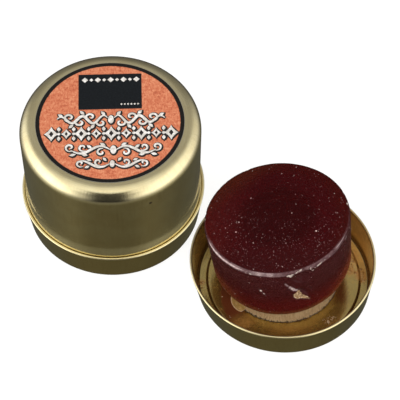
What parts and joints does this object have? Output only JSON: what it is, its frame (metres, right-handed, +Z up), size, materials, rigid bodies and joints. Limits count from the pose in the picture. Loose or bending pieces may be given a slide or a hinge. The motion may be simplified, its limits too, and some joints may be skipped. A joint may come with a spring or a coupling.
{
  "type": "rosin cake in tin",
  "caption": "Round bow rosin cake on a cloth pad in a shallow metal base tray, beside a closed matching tin with a deep lift-off lid and round paper label.",
  "frame": {"origin": "point on the table midway between the axes of the two tins, at the height both tins stand on", "axes": "+Z up; the closed tin is on the -X side and slightly to the back (+Y), the open tin is on the +X side and slightly to the front (-Y)"},
  "size_m": [0.096, 0.0746, 0.0387],
  "materials": {
    "lacquered_tin": "pressed tinplate with a clear gold lacquer, glossy",
    "rosin": "dark red-brown cast rosin, glossy and slightly translucent, with fine pale dust and small chips",
    "pad_cloth": "tan felted cloth with a ragged napped edge",
    "label_paper": "mottled orange printed paper with a thin black border and a plain black panel"
  },
  "bodies": {
    "open_tin": {"open_tray": "lacquered_tin"},
    "cake": {"rosin_cake": "rosin", "cake_backing_pad": "pad_cloth"},
    "closed_tin": {"closed_tray": "lacquered_tin", "stored_cake": "rosin", "stored_backing_pad": "pad_cloth"},
    "lid_assembly": {"lid": "lacquered_tin", "lid_label": "label_paper"}
  },
  "joints": [
    {"name": "cake_lift", "type": "slide", "parent": "open_tin", "child": "cake", "axis": [0, 0, 1], "range_m": [0, 0.03]},
    {"name": "closed_tin_move", "type": "slide", "parent": "open_tin", "child": "closed_tin", "axis": [-1, 0, 0], "range_m": [0, 0.05]},
    {"name": "lid_lift", "type": "slide", "parent": "closed_tin", "child": "lid_assembly", "axis": [0, 0, 1], "range_m": [0, 0.04]}
  ]
}
